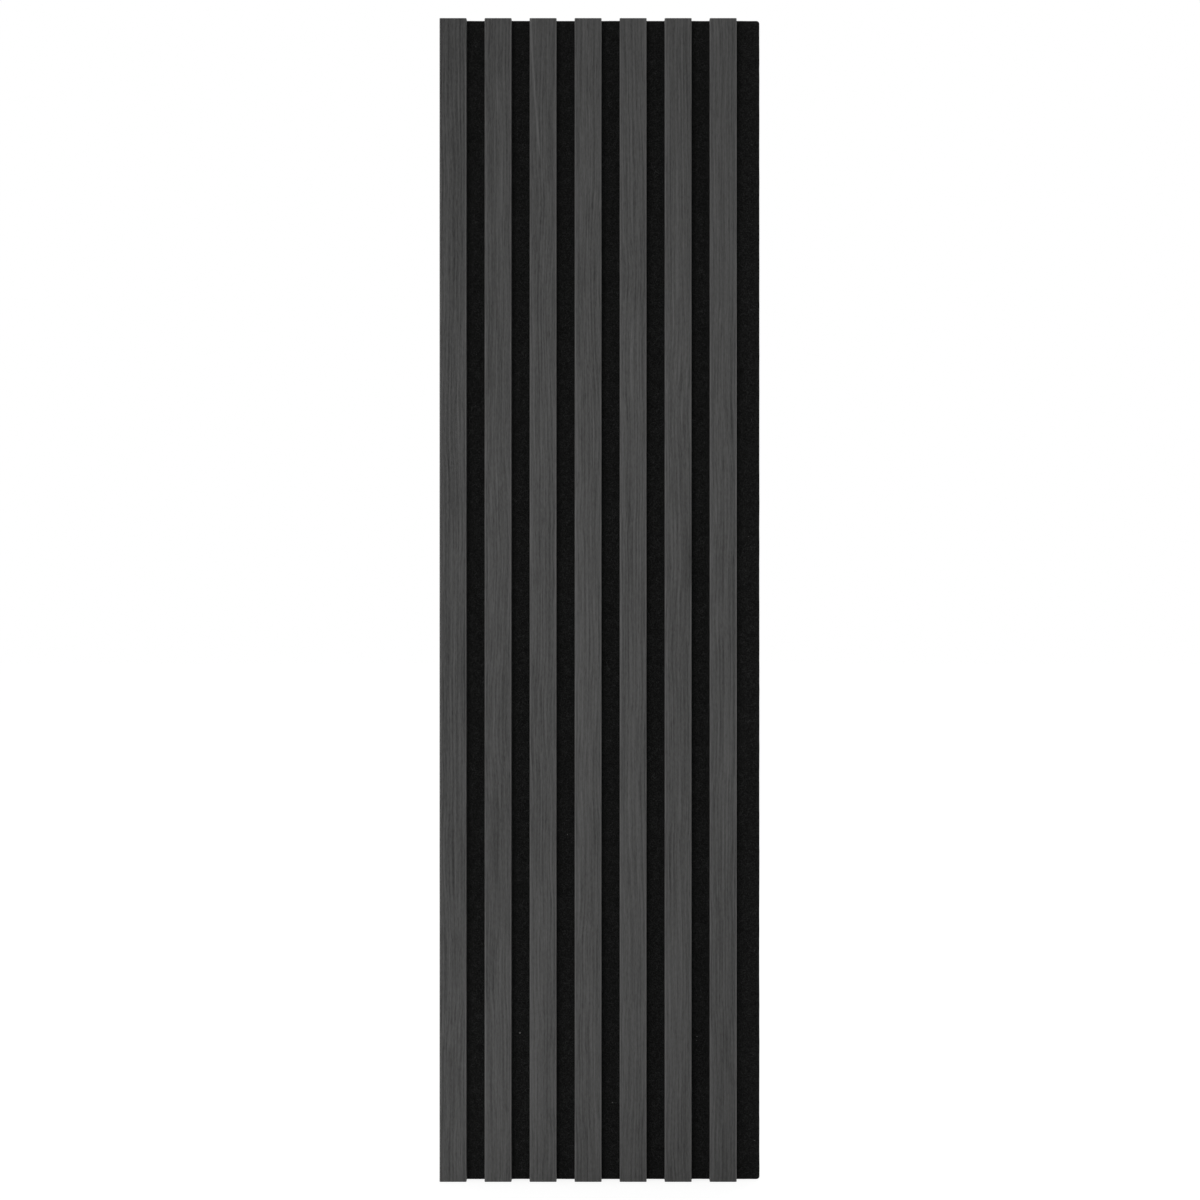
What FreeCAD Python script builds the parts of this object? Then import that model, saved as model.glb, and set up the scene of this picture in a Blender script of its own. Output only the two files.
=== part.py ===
# Acoustic slat wall panel: a pressed felt board that carries seven upright slats. Each slat is a fibreboard
# core with a veneer folded over its front and sides, and is stapled to the felt from behind.
# Millimetres. X runs to the right, Z up, and the wall is the plane Y = 0, so the slats face -Y.
# The origin is the middle of the felt's back face.
import FreeCAD, Part
import os
import Sketcher

# Driving dimensions: name, value and what it measures.
DIMENSIONS = [
    ("slat_count", 7, "slats side by side"),
    ("slat_width", 27, "face of one slat, veneer included"),
    ("slat_depth", 12, "slat from the felt to its face, veneer included"),
    ("slat_gap", 18, "felt seen between two slats"),
    ("panel_length", 1163, "slats and felt, end to end"),
    ("veneer_thickness", 0.6, "wood sheet on the front and sides of a core"),
    ("core_arris_radius", 0.5, "rounding of a core's two front edges"),
    ("felt_thickness", 9, "pressed felt board"),
    ("felt_corner_radius", 3, "rounding of the board's four corners"),
    ("felt_lap", 5.5, "how far the first slat hangs past the felt, to cover the next panel's joint"),
    ("staple_rows", 6, "staples along each slat"),
    ("staple_end_distance", 50, "first and last staple from the ends of the slat"),
    ("crown_width", 12.8, "staple across its legs"),
    ("leg_length", 16, "staple from its crown to its points"),
    ("point_length", 1.2, "tapered end of a leg"),
    ("wire_thickness", 0.65, "staple wire in the plane of its bends"),
    ("wire_width", 0.95, "staple wire across that plane"),
    ("crown_sink", 0.4, "crown below the felt's back face"),
    ("crown_clearance", 0.7, "felt pressed away round a crown"),
]

# Derived sizes, as formulas of the sheet's cells.
PITCH = "(Dimensions.slat_width + Dimensions.slat_gap)"
FELT_WIDTH = f"(Dimensions.slat_count * {PITCH})"
FIRST_SLAT_X = f"(Dimensions.slat_width / 2 - {FELT_WIDTH} / 2 - Dimensions.felt_lap)"
LAST_SLAT_TRAVEL = f"((Dimensions.slat_count - 1) * {PITCH})"
FIRST_STAPLE_Z = "(Dimensions.staple_end_distance - Dimensions.panel_length / 2)"
STAPLE_TRAVEL = "(Dimensions.panel_length - 2 * Dimensions.staple_end_distance)"
CORE_HALF_WIDTH = "(Dimensions.slat_width / 2 - Dimensions.veneer_thickness)"
CORE_DEPTH = "(Dimensions.slat_depth - Dimensions.veneer_thickness)"
VENEER_ARRIS_RADIUS = "(Dimensions.core_arris_radius + Dimensions.veneer_thickness)"

# Directions in which staples repeat: sketch axis, travel and count.
ACROSS_SLATS = ("H_Axis", LAST_SLAT_TRAVEL, "Dimensions.slat_count")
ALONG_SLAT = ("V_Axis", STAPLE_TRAVEL, "Dimensions.staple_rows")

# A sketch's own axes, as its constraints number them.
AXIS_ACROSS, AXIS_UP = -1, -2


def start_of(edge):
    """The start point of a sketch's edge, as a constraint names it."""
    return edge, 1


def end_of(edge):
    """The end point of a sketch's edge, as a constraint names it."""
    return edge, 2


def make_sheet(document):
    """Puts the driving dimensions in a spreadsheet, one named cell each."""
    sheet = document.addObject("Spreadsheet::Sheet", "Dimensions")
    for row, (name, value, meaning) in enumerate(DIMENSIONS, start=1):
        sheet.set(f"A{row}", name)
        sheet.set(f"B{row}", str(value))
        sheet.set(f"C{row}", meaning)
        sheet.setAlias(f"B{row}", name)
    document.recompute()
    return sheet


def make_body(document, label):
    """An empty body whose label names its file."""
    body = document.addObject("PartDesign::Body", label)
    body.Label = label
    return body


def make_sketch(body, name, plane_role, offset=None):
    """A sketch on one of the body's own planes, moved off it by a formula where one is given."""
    plane = next(item for item in body.Origin.OriginFeatures if item.Role == plane_role)
    sketch = body.newObject("Sketcher::SketchObject", name)
    sketch.AttachmentSupport = [(plane, "")]
    sketch.MapMode = "FlatFace"
    if offset is not None:
        sketch.setExpression("AttachmentOffset.Base.z", offset)
    return sketch


def drive(sketch, constraint, formula):
    """Adds a dimension and binds it to its formula."""
    index = sketch.addConstraint(constraint)
    sketch.setExpression(f"Constraints[{index}]", formula)


def hold(sketch, direction, point, formula):
    """Keeps a point at a distance from the origin, or on the axis where that distance is nothing."""
    if formula == "0":
        axis = AXIS_UP if direction == "X" else AXIS_ACROSS
        sketch.addConstraint(Sketcher.Constraint("PointOnObject", *point, axis))
        return
    distance = float(sketch.evalExpression(formula))
    origin = start_of(AXIS_ACROSS)
    drive(sketch, Sketcher.Constraint(f"Distance{direction}", *origin, *point, distance), formula)


class Corner:
    """One corner of an outline: where it is and how far it is rounded, as formulas and as numbers."""

    def __init__(self, sketch, x, y, rounding=None):
        self.formulas = {"X": x, "Y": y}
        self.point = FreeCAD.Vector(float(sketch.evalExpression(x)), float(sketch.evalExpression(y)), 0)
        self.rounding = rounding
        self.radius = float(sketch.evalExpression(rounding)) if rounding else 0.0


class Side:
    """A straight side between two corners. It is upright or level where they share a formula."""

    def __init__(self, sketch, start, stop):
        self.along = (stop.point - start.point).normalize()
        first, last = start.point + self.along * start.radius, stop.point - self.along * stop.radius
        self.edge = sketch.addGeometry(Part.LineSegment(first, last), False)
        self.held = [way for way in "XY" if start.formulas[way] == stop.formulas[way]]
        for way in self.held:
            sketch.addConstraint(Sketcher.Constraint("Vertical" if way == "X" else "Horizontal", self.edge))
            hold(sketch, way, start_of(self.edge), start.formulas[way])


def draw_outline(sketch, corners):
    """Draws a closed, fully dimensioned outline through corners given as Corner takes them."""
    corners = [Corner(sketch, *corner) for corner in corners]
    sides = [Side(sketch, start, stop) for start, stop in zip(corners, corners[1:] + corners[:1])]
    for corner, before, after in zip(corners, sides[-1:] + sides[:-1], sides):
        if corner.radius:
            round_corner(sketch, corner, before, after)
            continue
        sketch.addConstraint(Sketcher.Constraint("Coincident", *end_of(before.edge), *start_of(after.edge)))
        for way in "XY":
            if way not in before.held + after.held:
                hold(sketch, way, start_of(after.edge), corner.formulas[way])


def round_corner(sketch, corner, before, after):
    """Joins two sides that meet at a right angle by a tangent arc, which always runs anticlockwise."""
    start, stop = corner.point - before.along * corner.radius, corner.point + after.along * corner.radius
    centre = start + after.along * corner.radius
    middle = centre + (corner.point - centre).normalize() * corner.radius
    turns_left = before.along.cross(after.along).z > 0
    curve = Part.Arc(start, middle, stop) if turns_left else Part.Arc(stop, middle, start)
    arc = sketch.addGeometry(curve, False)
    first, last = (start_of(arc), end_of(arc)) if turns_left else (end_of(arc), start_of(arc))
    sketch.addConstraint(Sketcher.Constraint("Tangent", *end_of(before.edge), *first))
    sketch.addConstraint(Sketcher.Constraint("Tangent", *last, *start_of(after.edge)))
    drive(sketch, Sketcher.Constraint("Radius", arc, corner.radius), corner.rounding)


def draw_staple(sketch, centre_x, back_y):
    """Draws a bent staple seen from its end: crown at back_y, legs reaching towards the slat's face."""
    half, wire = "Dimensions.crown_width / 2", "Dimensions.wire_thickness"
    tip_y = f"{back_y} - Dimensions.leg_length"
    taper_y = f"{tip_y} + Dimensions.point_length"
    left, right = f"{centre_x} - {half}", f"{centre_x} + {half}"
    draw_outline(sketch, [
        (left, back_y, wire),
        (left, taper_y),
        (f"{left} + {wire} / 2", tip_y),
        (f"{left} + {wire}", taper_y),
        (f"{left} + {wire}", f"{back_y} - {wire}"),
        (f"{right} - {wire}", f"{back_y} - {wire}"),
        (f"{right} - {wire}", taper_y),
        (f"{right} - {wire} / 2", tip_y),
        (right, taper_y),
        (right, back_y, wire),
    ])


def draw_core_section(sketch):
    """Draws a core: square where it meets the felt, rounded at its two front edges."""
    draw_outline(sketch, [
        (f"-{CORE_HALF_WIDTH}", "0"),
        (f"-{CORE_HALF_WIDTH}", f"-{CORE_DEPTH}", "Dimensions.core_arris_radius"),
        (CORE_HALF_WIDTH, f"-{CORE_DEPTH}", "Dimensions.core_arris_radius"),
        (CORE_HALF_WIDTH, "0"),
    ])


def draw_veneer_section(sketch):
    """Draws the veneer as a channel of even thickness, folded over the core's front edges."""
    outer, outer_depth = "Dimensions.slat_width / 2", "Dimensions.slat_depth"
    draw_outline(sketch, [
        (f"-{outer}", "0"),
        (f"-{outer}", f"-{outer_depth}", VENEER_ARRIS_RADIUS),
        (outer, f"-{outer_depth}", VENEER_ARRIS_RADIUS),
        (outer, "0"),
        (CORE_HALF_WIDTH, "0"),
        (CORE_HALF_WIDTH, f"-{CORE_DEPTH}", "Dimensions.core_arris_radius"),
        (f"-{CORE_HALF_WIDTH}", f"-{CORE_DEPTH}", "Dimensions.core_arris_radius"),
        (f"-{CORE_HALF_WIDTH}", "0"),
    ])


def draw_crown_dent(sketch):
    """Draws the dent that the first staple's crown presses into the felt."""
    half_across = "(Dimensions.wire_width / 2 + Dimensions.crown_clearance)"
    half_along = "(Dimensions.crown_width / 2 + Dimensions.crown_clearance)"
    left, right = f"{FIRST_SLAT_X} - {half_along}", f"{FIRST_SLAT_X} + {half_along}"
    bottom, top = f"{FIRST_STAPLE_Z} - {half_across}", f"{FIRST_STAPLE_Z} + {half_across}"
    draw_outline(sketch, [
        (left, bottom),
        (right, bottom),
        (right, top),
        (left, top),
    ])


def pad(body, sketch, length, side="One side"):
    """Extrudes a sketch by a formula."""
    feature = body.newObject("PartDesign::Pad", f"{sketch.Name}_pad")
    feature.Profile = sketch
    feature.SideType = side
    feature.setExpression("Length", length)
    return feature


def pocket(body, sketch, depth, side="One side"):
    """Cuts a sketch into the body by a formula. A cut to one side runs the way that a pad would."""
    feature = body.newObject("PartDesign::Pocket", f"{sketch.Name}_pocket")
    feature.Profile = sketch
    feature.SideType = side
    feature.Reversed = side == "One side"
    feature.setExpression("Length", depth)
    return feature


def repeat(body, features, sketch, directions):
    """Repeats features along one or two axes of a sketch, each (axis, travel formula, count formula)."""
    pattern = body.newObject("PartDesign::LinearPattern", f"{features[-1].Name}_rows")
    pattern.Originals = features
    for suffix, (axis, travel, copies) in zip(("", "2"), directions):
        setattr(pattern, f"Direction{suffix}", (sketch, [axis]))
        pattern.setExpression(f"Length{suffix}", travel)
        pattern.setExpression(f"Occurrences{suffix}", copies)
    body.Tip = pattern


def place(body, x, y, z):
    """Binds a body's position to formulas."""
    for axis, formula in zip("xyz", (x, y, z)):
        body.setExpression(f"Placement.Base.{axis}", formula)


def make_felt(document):
    """The pressed felt board, with the dents and holes of its staples."""
    body = make_body(document, "felt_backing")
    outline = make_sketch(body, "felt_outline", "XZ_Plane")
    side, end = f"{FELT_WIDTH} / 2", "Dimensions.panel_length / 2"
    rounding = "Dimensions.felt_corner_radius"
    draw_outline(outline, [
        (f"-{side}", f"-{end}", rounding),
        (side, f"-{end}", rounding),
        (side, end, rounding),
        (f"-{side}", end, rounding),
    ])
    pad(body, outline, "Dimensions.felt_thickness")

    dent = make_sketch(body, "crown_dent", "XZ_Plane")
    draw_crown_dent(dent)
    dented = pocket(body, dent, "Dimensions.crown_sink + Dimensions.wire_thickness")
    holes = make_sketch(body, "felt_staple_holes", "XY_Plane", offset=FIRST_STAPLE_Z)
    draw_staple(holes, FIRST_SLAT_X, "-Dimensions.crown_sink")
    pierced = pocket(body, holes, "Dimensions.wire_width", side="Symmetric")
    document.recompute()
    repeat(body, [dented, pierced], outline, [ACROSS_SLATS, ALONG_SLAT])
    return body


def make_staples(document):
    """All staples, a group of separate pieces."""
    body = make_body(document, "staples")
    body.AllowCompound = True
    outline = make_sketch(body, "staple_outline", "XY_Plane", offset=FIRST_STAPLE_Z)
    draw_staple(outline, FIRST_SLAT_X, "-Dimensions.crown_sink")
    staple = pad(body, outline, "Dimensions.wire_width", side="Symmetric")
    document.recompute()
    guide = make_sketch(body, "staple_rows_plane", "XZ_Plane")
    repeat(body, [staple], guide, [ACROSS_SLATS, ALONG_SLAT])
    return body


def make_core(document, number):
    """One slat's fibreboard core, pierced from behind by its staples' legs."""
    body = make_body(document, f"slat_{number}_core")
    section = make_sketch(body, f"core_{number}_section", "XY_Plane")
    draw_core_section(section)
    pad(body, section, "Dimensions.panel_length")
    holes = make_sketch(body, f"core_{number}_leg_holes", "XY_Plane", offset="Dimensions.staple_end_distance")
    draw_staple(holes, "0", "(Dimensions.felt_thickness - Dimensions.crown_sink)")
    pierced = pocket(body, holes, "Dimensions.wire_width", side="Symmetric")
    document.recompute()
    guide = make_sketch(body, f"core_{number}_rows_plane", "XZ_Plane")
    repeat(body, [pierced], guide, [ALONG_SLAT])
    return body


def make_veneer(document, number):
    """One slat's veneer, a folded sheet that follows the core."""
    body = make_body(document, f"slat_{number}_veneer")
    section = make_sketch(body, f"veneer_{number}_section", "XY_Plane")
    draw_veneer_section(section)
    pad(body, section, "Dimensions.panel_length")
    return body


def make_slats(document, count):
    """Every slat, stood on the felt's front face at its own place in the row."""
    bodies = []
    for index in range(count):
        for make in (make_core, make_veneer):
            body = make(document, index + 1)
            place(body, f"{FIRST_SLAT_X} + {index} * {PITCH}", "-Dimensions.felt_thickness",
                  "-Dimensions.panel_length / 2")
            bodies.append(body)
    return bodies


def check(document, bodies):
    """Stops if any object failed to build or any piece has no sound shape."""
    for item in document.Objects:
        if {"Invalid", "Error"} & set(item.State):
            raise RuntimeError(f"{item.Name} did not build: {item.State}")
    for body in bodies:
        if body.Shape.isNull() or not body.Shape.isValid() or not body.Shape.Solids:
            raise RuntimeError(f"{body.Label} has no sound shape")


def main():
    document = FreeCAD.newDocument("SlatWallPanel")
    sheet = make_sheet(document)
    bodies = [make_felt(document), make_staples(document)]
    bodies += make_slats(document, int(sheet.slat_count))
    document.recompute()
    check(document, bodies)
    os.makedirs("parts", exist_ok=True)
    for body in bodies:
        body.Shape.exportStep(os.path.join("parts", f"{body.Label}.step"))
        print(f"{body.Label}: {len(body.Shape.Solids)} solids, {body.Shape.Volume / 1000:.2f} cm3")


main()
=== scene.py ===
# %% [markdown]
# # Dressing a slatted wall panel
# The object is an acoustic wall panel: slim upright slats on a board of black pressed felt. Each slat is
# a black fibreboard core inside a folded sheet of charcoal-stained veneer, and wire staples driven from
# behind hold it to the felt. Its sizes are settled already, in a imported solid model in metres. In that
# frame the wall is the plane y = 0, the slats face -Y, and Z is up. This lesson adds the looks around
# those solids and moves none of them.

# %% Load the frame
import math
import random

import bmesh
import bpy
from mathutils import Matrix, Vector, noise


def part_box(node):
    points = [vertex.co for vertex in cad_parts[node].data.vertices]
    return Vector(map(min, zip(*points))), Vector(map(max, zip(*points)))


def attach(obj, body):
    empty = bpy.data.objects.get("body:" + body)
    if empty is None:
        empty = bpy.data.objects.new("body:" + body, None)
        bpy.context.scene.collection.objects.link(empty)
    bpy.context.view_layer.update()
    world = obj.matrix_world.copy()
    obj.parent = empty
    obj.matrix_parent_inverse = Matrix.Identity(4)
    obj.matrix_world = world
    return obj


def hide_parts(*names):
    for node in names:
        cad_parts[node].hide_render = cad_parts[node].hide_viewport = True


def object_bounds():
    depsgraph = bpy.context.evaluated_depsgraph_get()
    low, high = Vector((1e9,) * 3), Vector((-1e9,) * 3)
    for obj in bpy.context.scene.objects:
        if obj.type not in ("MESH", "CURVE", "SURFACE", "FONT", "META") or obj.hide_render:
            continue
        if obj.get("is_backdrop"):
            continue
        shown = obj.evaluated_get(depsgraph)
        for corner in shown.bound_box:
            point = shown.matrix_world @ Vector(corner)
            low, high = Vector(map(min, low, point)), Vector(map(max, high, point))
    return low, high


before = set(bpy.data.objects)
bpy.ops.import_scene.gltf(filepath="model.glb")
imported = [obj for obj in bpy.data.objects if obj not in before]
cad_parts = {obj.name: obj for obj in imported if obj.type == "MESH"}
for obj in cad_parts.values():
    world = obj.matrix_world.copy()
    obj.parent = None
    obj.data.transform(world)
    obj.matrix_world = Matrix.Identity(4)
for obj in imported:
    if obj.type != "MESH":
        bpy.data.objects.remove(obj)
cad_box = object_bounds()
print("nodes:", ", ".join(sorted(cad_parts)))

# %% [markdown]
# Most sizes are read from the frame, so that the looks follow the solids if those are ever changed. A box
# gives a node's outside only, so the few sizes that no box shows are named here, in millimetres: the
# rounding of the edges, and the wire that the staples are bent from.

# %% Measure the frame
MM = 0.001
FELT_CORNER_RADIUS = 3 * MM
ARRIS_RADIUS = 1.1 * MM
WIRE_THICKNESS = 0.65 * MM
WIRE_WIDTH = 0.95 * MM
STAPLES_PER_SLAT = 6

slats = sorted(name.removesuffix("_veneer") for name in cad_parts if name.endswith("_veneer"))
slat_boxes = {slat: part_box(f"{slat}_veneer") for slat in slats}
slat_middles = [(low.x + high.x) / 2 for low, high in slat_boxes.values()]
slat_pitch = slat_middles[1] - slat_middles[0]
slat_width = slat_boxes[slats[0]][1].x - slat_boxes[slats[0]][0].x
slat_front = slat_boxes[slats[0]][0].y
veneer_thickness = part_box(f"{slats[0]}_core")[0].x - slat_boxes[slats[0]][0].x
felt_low, felt_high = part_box("felt_backing")
staple_low, staple_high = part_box("staples")
first_row = staple_low.z + WIRE_WIDTH / 2
row_pitch = (staple_high.z - staple_low.z - WIRE_WIDTH) / (STAPLES_PER_SLAT - 1)
staple_rows = [first_row + row * row_pitch for row in range(STAPLES_PER_SLAT)]
crown_width = 2 * (slat_middles[0] - staple_low.x)
print(f"{len(slats)} slats, {veneer_thickness / MM:.2f} mm veneer, staples every {row_pitch / MM:.1f} mm")

# %% [markdown]
# A finish is a node tree. It could be drawn by hand in the shader editor, but the same few steps come back
# in each: scale the object's own coordinates by a different amount along each axis, read a noise there, and
# weigh it. Short calls for those steps keep each finish readable. The coordinates are the object's, so a
# pattern stays on its piece whichever way the camera looks.


# %% Helpers for finishes
class Finish:
    """A material under construction."""

    def __init__(self, name):
        self.material = bpy.data.materials.new(name)
        self.material.use_nodes = True
        self.tree = self.material.node_tree
        self.shader = self.tree.nodes["Principled BSDF"]
        self.place = self.add("ShaderNodeTexCoord").outputs["Object"]

    def add(self, kind, **settings):
        """Adds a node."""
        node = self.tree.nodes.new(kind)
        for name, value in settings.items():
            setattr(node, name, value)
        return node

    def feed(self, socket, value):
        """Links an output to a socket, or sets a plain value on it."""
        if isinstance(value, bpy.types.NodeSocket):
            self.tree.links.new(value, socket)
        else:
            socket.default_value = value

    def math(self, operation, first, second=0.0, clamp=False):
        """One step of arithmetic."""
        node = self.add("ShaderNodeMath", operation=operation, use_clamp=clamp)
        self.feed(node.inputs[0], first)
        self.feed(node.inputs[1], second)
        return node.outputs[0]

    def vector(self, operation, first, second):
        """One step of arithmetic on coordinates."""
        node = self.add("ShaderNodeVectorMath", operation=operation)
        self.feed(node.inputs[0], first)
        self.feed(node.inputs[1], second)
        return node.outputs[0]

    def axes(self, place):
        """The three numbers of a place, by the letter of their axis."""
        node = self.add("ShaderNodeSeparateXYZ")
        self.feed(node.inputs[0], place)
        return node.outputs

    def noise(self, place, per_metre, detail=2.0, roughness=0.5, colour=False):
        """Noise with so many features to the metre along X, Y and Z."""
        node = self.add("ShaderNodeTexNoise")
        self.feed(node.inputs["Vector"], self.vector("MULTIPLY", place, per_metre))
        self.feed(node.inputs["Scale"], 1.0)
        self.feed(node.inputs["Detail"], detail)
        self.feed(node.inputs["Roughness"], roughness)
        return node.outputs[1 if colour else 0]

    def swing(self, pattern, amount):
        """A noise centred on nothing and scaled."""
        return self.math("MULTIPLY", self.math("SUBTRACT", pattern, 0.5), amount)

    def step(self, value, low, high):
        """Nothing below low, all above high, and smooth between them."""
        node = self.add("ShaderNodeMapRange", interpolation_type="SMOOTHSTEP")
        self.feed(node.inputs["Value"], value)
        self.feed(node.inputs["From Min"], low)
        self.feed(node.inputs["From Max"], high)
        return node.outputs["Result"]

    def blend(self, share, first, second):
        """A colour between two."""
        node = self.add("ShaderNodeMix", data_type="RGBA")
        self.feed(node.inputs[0], share)
        self.feed(node.inputs[6], first)
        self.feed(node.inputs[7], second)
        return node.outputs[2]

    def relief(self, height, depth, strength=1.0):
        """Feeds a height, from nothing to one, to the shader as relief of a real depth."""
        node = self.add("ShaderNodeBump")
        self.feed(node.inputs["Height"], height)
        self.feed(node.inputs["Distance"], depth)
        self.feed(node.inputs["Strength"], strength)
        self.feed(self.shader.inputs["Normal"], node.outputs["Normal"])


print("finish helpers ready")

# %% [markdown]
# The panel is seen square on, from two and a half metres, with the camera level at half its height. From
# there the felt, which lies a slat's depth further back, ends a little inside the slats at the top and the
# foot, and the slats left of the middle show a sliver of their right sides. A longer lens from further away
# would lose both.

# %% Camera
VIEW_DISTANCE = 2.485
PICTURE_WIDTH = 1.1989
CAMERA_OFFSET = -2.6 * MM
SENSOR_WIDTH = 36

camera_data = bpy.data.cameras.new("camera")
camera_data.sensor_width = SENSOR_WIDTH
camera_data.lens = SENSOR_WIDTH * (VIEW_DISTANCE + slat_front) / PICTURE_WIDTH
camera = bpy.data.objects.new("camera", camera_data)
camera.location = (CAMERA_OFFSET, -VIEW_DISTANCE, 0)
camera.rotation_euler = (math.radians(90), 0, 0)
bpy.context.scene.collection.objects.link(camera)
bpy.context.scene.camera = camera
bpy.context.scene.view_settings.view_transform = "Standard"
print(f"lens {camera_data.lens:.2f} mm")

# %% [markdown]
# The panel stands in a white room. A studio would flood a white backdrop with light, but that much light
# would wash out a dark panel. Here the camera, and anything glossy, sees plain white, and only a part of
# that white lights the panel, because a whole sphere of it would flatten the grooves. Light Path tells
# those rays apart.


# %% White room
def seen_directly(tree):
    """One for rays from the camera and from gloss and glass, nothing for the rays that light surfaces."""
    path = tree.nodes.new("ShaderNodeLightPath")
    either = tree.nodes.new("ShaderNodeMath")
    either.operation = "MAXIMUM"
    tree.links.new(path.outputs["Is Camera Ray"], either.inputs[0])
    tree.links.new(path.outputs["Is Glossy Ray"], either.inputs[1])
    any_of_three = tree.nodes.new("ShaderNodeMath")
    any_of_three.operation = "MAXIMUM"
    tree.links.new(either.outputs[0], any_of_three.inputs[0])
    tree.links.new(path.outputs["Is Transmission Ray"], any_of_three.inputs[1])
    return any_of_three.outputs[0]


ROOM_LIGHT = 0.35
world = bpy.data.worlds.new("white_room")
world.use_nodes = True
bpy.context.scene.world = world
tree = world.node_tree
strength = tree.nodes.new("ShaderNodeMapRange")
strength.inputs["To Min"].default_value = ROOM_LIGHT
tree.links.new(seen_directly(tree), strength.inputs["Value"])
background = tree.nodes["Background"]
background.inputs["Color"].default_value = (1, 1, 1, 1)
tree.links.new(strength.outputs["Result"], background.inputs["Strength"])
print(f"room lights at {ROOM_LIGHT} of white")

# %% [markdown]
# The floor is one large square at the panel's foot. A plain white one would be only as bright as the lamps
# make it. This one glows a little less than white and adds some of the light that falls on it, so that it
# is white where nothing shades it and keeps a weak shadow at the panel's foot. Less light reaches it far
# away, so it glows more there. The rays that light the panel find plain pale paint in its place.

# %% Floor
FLOOR_SIZE = 40
GLOW_NEAR = 0.87
GLOW_FAR = 0.935
NEAR = 0.6
FAR = 3.5
FLOOR_ANSWER = 0.2
FLOOR_COLOUR = 0.8

bm = bmesh.new()
bmesh.ops.create_grid(bm, x_segments=1, y_segments=1, size=FLOOR_SIZE / 2)
bmesh.ops.translate(bm, vec=(0, 0, cad_box[0].z), verts=bm.verts)
floor_mesh = bpy.data.meshes.new("floor")
bm.to_mesh(floor_mesh)
bm.free()
floor = bpy.data.objects.new("floor", floor_mesh)
bpy.context.scene.collection.objects.link(floor)
floor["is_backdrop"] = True
print(f"floor at {cad_box[0].z / MM:.1f} mm")

# %% Floor finish
paint = Finish("white_floor")
paint.tree.nodes.remove(paint.shader)
plain = paint.add("ShaderNodeBsdfDiffuse")
plain.inputs["Color"].default_value = (FLOOR_COLOUR, FLOOR_COLOUR, FLOOR_COLOUR, 1)
answer = paint.add("ShaderNodeBsdfDiffuse")
answer.inputs["Color"].default_value = (FLOOR_ANSWER, FLOOR_ANSWER, FLOOR_ANSWER, 1)
glow = paint.add("ShaderNodeEmission")
away = paint.add("ShaderNodeVectorMath", operation="LENGTH")
paint.feed(away.inputs[0], paint.place)
glow_growth = paint.math("MULTIPLY", paint.step(away.outputs["Value"], NEAR, FAR), GLOW_FAR - GLOW_NEAR)
paint.feed(glow.inputs["Strength"], paint.math("ADD", glow_growth, GLOW_NEAR))
shown = paint.add("ShaderNodeAddShader")
paint.feed(shown.inputs[0], glow.outputs[0])
paint.feed(shown.inputs[1], answer.outputs[0])
mixed = paint.add("ShaderNodeMixShader")
paint.feed(mixed.inputs[0], seen_directly(paint.tree))
paint.feed(mixed.inputs[1], plain.outputs[0])
paint.feed(mixed.inputs[2], shown.outputs[0])
paint.feed(paint.tree.nodes["Material Output"].inputs["Surface"], mixed.outputs[0])
floor_mesh.materials.append(paint.material)
print(f"floor glows from {GLOW_NEAR} to {GLOW_FAR}")

# %% [markdown]
# A soft key light stands in front and to the left. Its width sets the soft edge of the shadow that each
# slat drops on the felt to its right, about six millimetres wide, and because it is small in height, both
# ends of the panel are a shade darker. A small lamp close by lifts the left of the foot. One behind does
# for the back what the key does for the front, one overhead lights the ends, and a narrow one on each side
# stands just behind the slats' faces, so that it lights the outer sides of the panel and nothing that faces
# the room.


# %% Lamps
def hang_lamp(name, place, target, size, watts):
    """A rectangular soft box that faces a target and that the camera doesn't see."""
    data = bpy.data.lights.new(name, "AREA")
    data.shape = "RECTANGLE"
    data.size, data.size_y = size
    data.energy = watts
    lamp = bpy.data.objects.new(name, data)
    lamp.location = place
    lamp.rotation_euler = (Vector(target) - Vector(place)).to_track_quat("-Z", "Y").to_euler()
    lamp.visible_camera = False
    bpy.context.scene.collection.objects.link(lamp)


PANEL_MIDDLE = (0, 0, 0)
SIDE_LAMP = {"target": PANEL_MIDDLE, "size": (0.35, 1.0), "watts": 20}
hang_lamp("key", place=(-0.38, -1.8, 0.22), target=(0, 0, 0.2), size=(1.02, 0.7), watts=15.35)
hang_lamp("foot_lamp", place=(-0.18, -0.28, -0.55), target=(-0.08, 0, -0.58), size=(0.2, 0.08), watts=0.16)
hang_lamp("back_key", place=(0.9, 2.2, 0.35), target=PANEL_MIDDLE, size=(1.3, 1.3), watts=32)
hang_lamp("overhead", place=(-0.2, 0.3, 2.6), target=(0, 0, -0.3), size=(2.0, 2.0), watts=19)
hang_lamp("left_lamp", place=(-2.4, 0.15, 0), **SIDE_LAMP)
hang_lamp("right_lamp", place=(2.4, 0.15, 0), **SIDE_LAMP)
print("lamps:", ", ".join(lamp.name for lamp in bpy.data.lights))

# %% [markdown]
# The veneer is a leaf of wood with an open, straight grain, as ash has, stained charcoal and lacquered
# matt. A picture of such a leaf could be laid on, but it would repeat and blur from close by. A pattern
# worked out from coordinates does neither, and runs on round the arrises as grain does. All of it runs up
# the slat and sways a little, so one slow sideways sway is added to the coordinates first. Each slat comes
# from another leaf, so its pattern is read from another height.

# %% Veneer coordinates
LEAF_SHIFT = 1.37
SWAY_WIDTH = 12 * MM

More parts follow.
